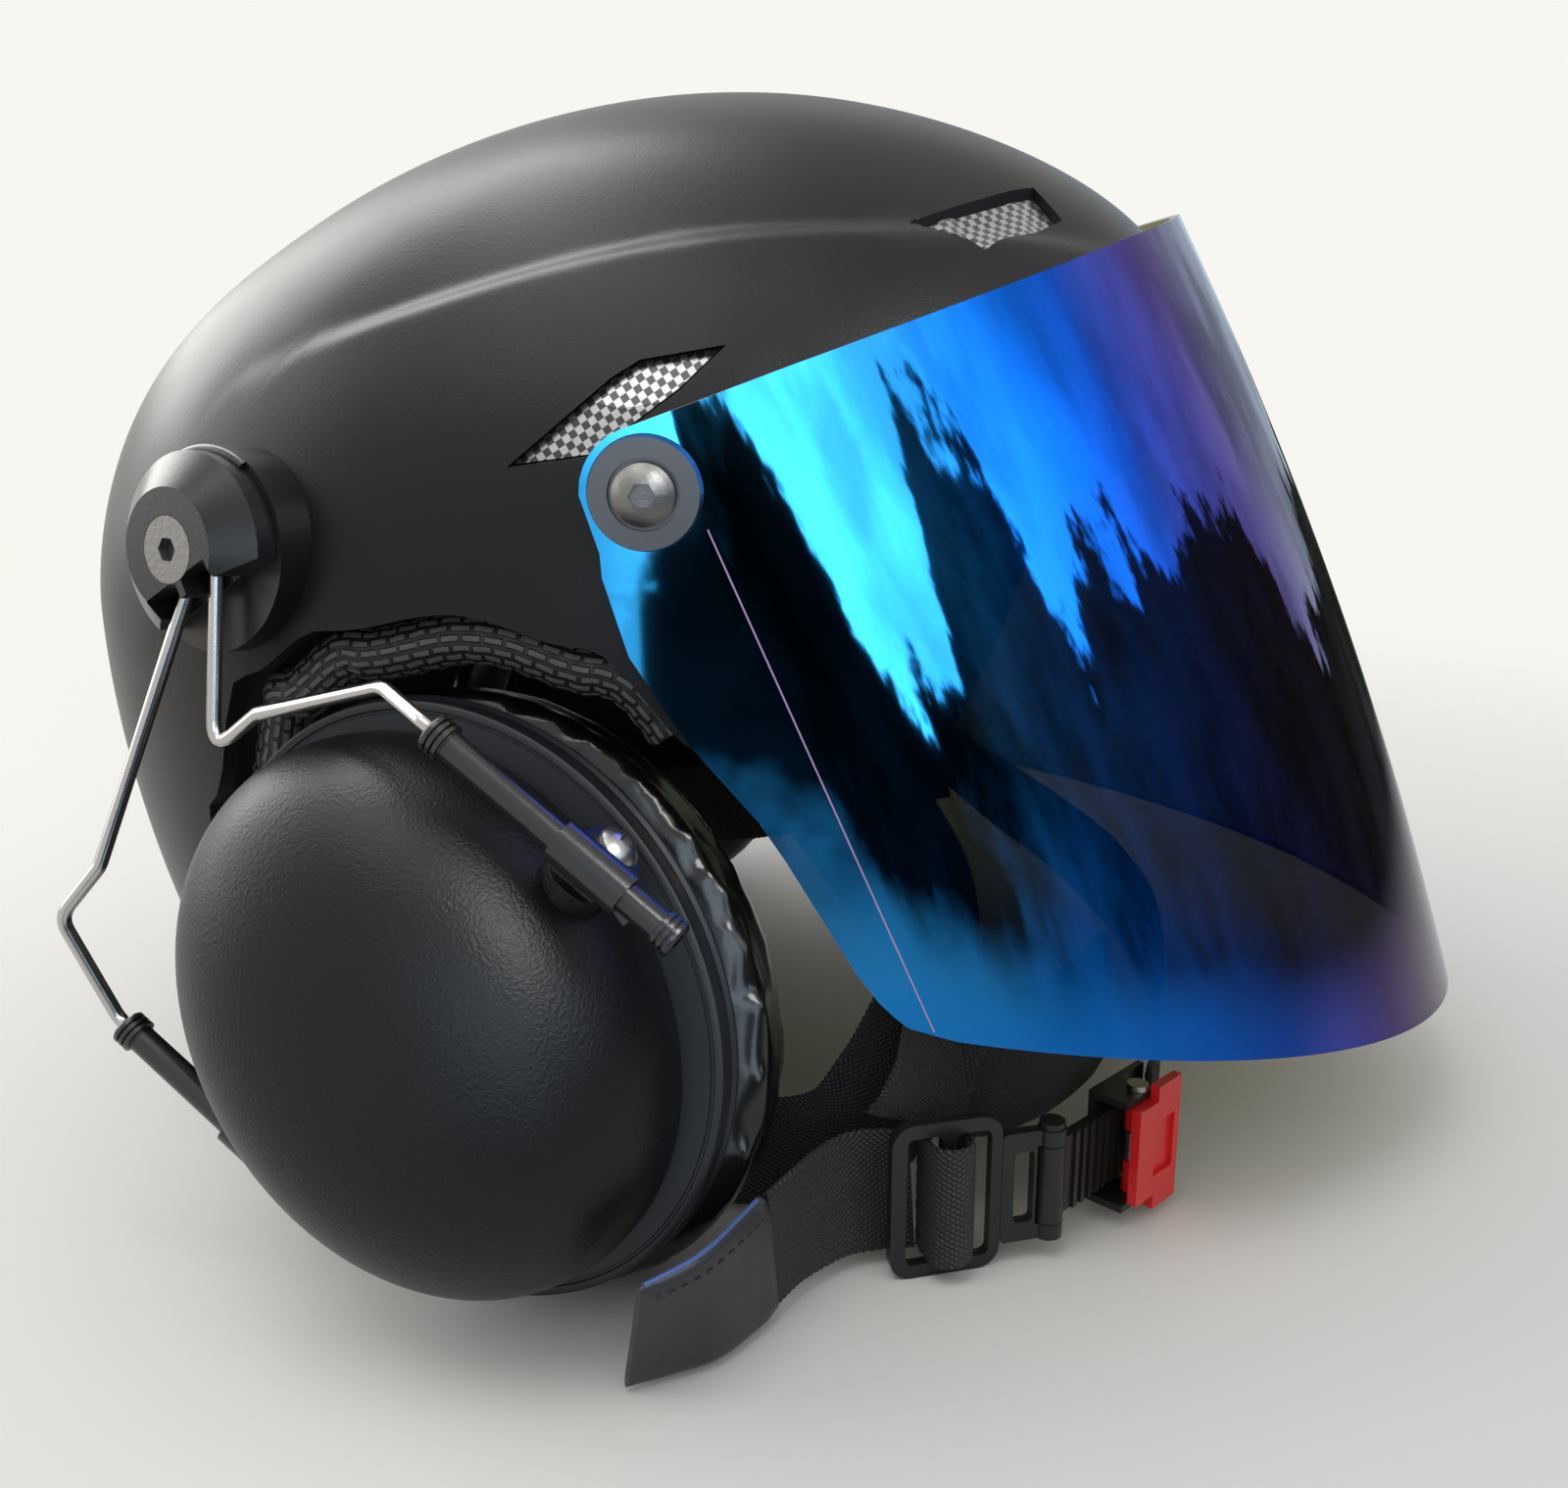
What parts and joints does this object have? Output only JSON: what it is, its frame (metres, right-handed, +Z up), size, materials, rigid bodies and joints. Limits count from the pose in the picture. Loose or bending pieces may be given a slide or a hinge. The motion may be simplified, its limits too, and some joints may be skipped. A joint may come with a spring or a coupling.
{
  "type": "paramotor helmet",
  "caption": "Open-face flight helmet with a long mirrored visor, ear muffs on sprung wire arms, padded ear rolls, and a chin strap with a slotted slider and a toothed quick-release buckle.",
  "frame": {"origin": "Centre of the bounding box on the surface that the helmet rests on (the nape rim, the ear cushions and the strap slider touch it).", "axes": "+X forwards, the way the wearer faces; +Y to the wearer's left; +Z up. Nodes named right lie at negative Y, and their left twins are mirror images."},
  "size_m": [0.3133, 0.3028, 0.2235],
  "materials": {
    "shell": "matt black, lightly textured",
    "foam": "expanded foam, dull",
    "lining": "brushed fabric",
    "roll": "woven",
    "insert": "silver and black printed sheet",
    "mount": "moulded, semi-gloss",
    "steel": "stainless",
    "wire": "drawn spring wire",
    "visor": "blue mirror coating",
    "washer": "gunmetal anodised, satin",
    "cup": "satin, fine grain",
    "ring": "smooth, satin",
    "cushion": "glossy coated skin",
    "damper": "open foam",
    "webbing": "ribbed nylon webbing",
    "patch": "folded satin",
    "buckle": "black satin coating",
    "lever": "red moulded"
  },
  "bodies": {
    "helmet": {"outer_shell": "shell", "foam_liner": "foam", "comfort_lining": "lining", "ear_rolls": "roll", "vent_inserts": "insert", "pivot_spacers": "mount", "pivot_screws": "steel", "pivot_nuts": "steel", "pivot_washers": "washer", "mount_plate_right": "mount", "mount_plate_left": "mount", "mount_screws": "steel", "mount_nuts": "steel", "chin_strap_right": "webbing", "chin_strap_left": "webbing", "strap_rivets": "steel", "buckle_flap": "webbing", "buckle_case": "buckle", "case_pin": "steel"},
    "visor": {"visor": "visor"},
    "holder_right": {"holder_right": "mount"},
    "arm_right": {"front_wire_right": "wire", "rear_wire_right": "wire", "sleeves_right": "mount"},
    "clip_right": {"brackets_right": "mount", "bracket_screw_right": "steel"},
    "cup_right": {"cup_dome_right": "cup", "cup_ring_right": "ring", "cushion_right": "cushion", "cup_damper_right": "damper"},
    "holder_left": {"holder_left": "mount"},
    "arm_left": {"front_wire_left": "wire", "rear_wire_left": "wire", "sleeves_left": "mount"},
    "clip_left": {"brackets_left": "mount", "bracket_screw_left": "steel"},
    "cup_left": {"cup_dome_left": "cup", "cup_ring_left": "ring", "cushion_left": "cushion", "cup_damper_left": "damper"},
    "tongue": {"toothed_tongue": "buckle", "hinge_pin": "steel"},
    "slider": {"slider": "buckle", "hinge_frame": "buckle", "slider_loop": "webbing", "strap_tail": "webbing", "tail_tab": "patch"},
    "lever": {"release_lever": "lever", "lever_pawl": "steel", "lever_spring": "steel"}
  },
  "joints": [
    {"name": "visor_tilt", "type": "hinge", "parent": "helmet", "child": "visor", "pos_m": [-0.026, 0, 0.148], "axis": [0, -1, 0], "range_deg": [0, 60]},
    {"name": "arm_swing_right", "type": "hinge", "parent": "helmet", "child": "holder_right", "pos_m": [-0.10444, -0.08265, 0.13514], "axis": [-0.5122, -0.8525, 0.1045], "range_deg": [0, 2.5]},
    {"name": "arm_pull_right", "type": "hinge", "parent": "holder_right", "child": "arm_right", "pos_m": [-0.10679, -0.09191, 0.13131], "axis": [-0.7692, 0.4013, -0.4973], "range_deg": [0, 8], "stiffness_Nm_per_rad": 1.5, "springref_deg": -14.32},
    {"name": "cup_height_right", "type": "slide", "parent": "arm_right", "child": "clip_right", "axis": [0.7636, -0.2847, -0.5796], "range_m": [0, 0.004]},
    {"name": "cup_tilt_right", "type": "hinge", "parent": "clip_right", "child": "cup_right", "pos_m": [-0.06366, -0.11769, 0.06175], "axis": [0.7179, -0.225, 0.6587], "range_deg": [-3.5, 1]},
    {"name": "arm_swing_left", "type": "hinge", "parent": "helmet", "child": "holder_left", "pos_m": [-0.10444, 0.08265, 0.13514], "axis": [0.5122, -0.8525, -0.1045], "range_deg": [0, 2.5]},
    {"name": "arm_pull_left", "type": "hinge", "parent": "holder_left", "child": "arm_left", "pos_m": [-0.10679, 0.09191, 0.13131], "axis": [0.7692, 0.4013, 0.4973], "range_deg": [0, 16], "stiffness_Nm_per_rad": 1.5, "springref_deg": -14.32},
    {"name": "cup_height_left", "type": "slide", "parent": "arm_left", "child": "clip_left", "axis": [0.7636, 0.2847, -0.5796], "range_m": [0, 0.004]},
    {"name": "cup_tilt_left", "type": "hinge", "parent": "clip_left", "child": "cup_left", "pos_m": [-0.06366, 0.11769, 0.06175], "axis": [-0.7179, -0.225, -0.6587], "range_deg": [-3.5, 1]},
    {"name": "tongue_slide", "type": "slide", "parent": "helmet", "child": "tongue", "axis": [-0.6947, -0.7193, 0], "range_m": [0, 0.0104]},
    {"name": "slider_hinge", "type": "hinge", "parent": "tongue", "child": "slider", "pos_m": [0.04808, -0.10043, 0], "axis": [0, 0, 1], "range_deg": [0, 25]},
    {"name": "lever_turn", "type": "hinge", "parent": "helmet", "child": "lever", "pos_m": [0.06736, -0.08637, 0], "axis": [0, 0, -1], "range_deg": [0, 40], "stiffness_Nm_per_rad": 0.05, "springref_deg": -17.19}
  ]
}
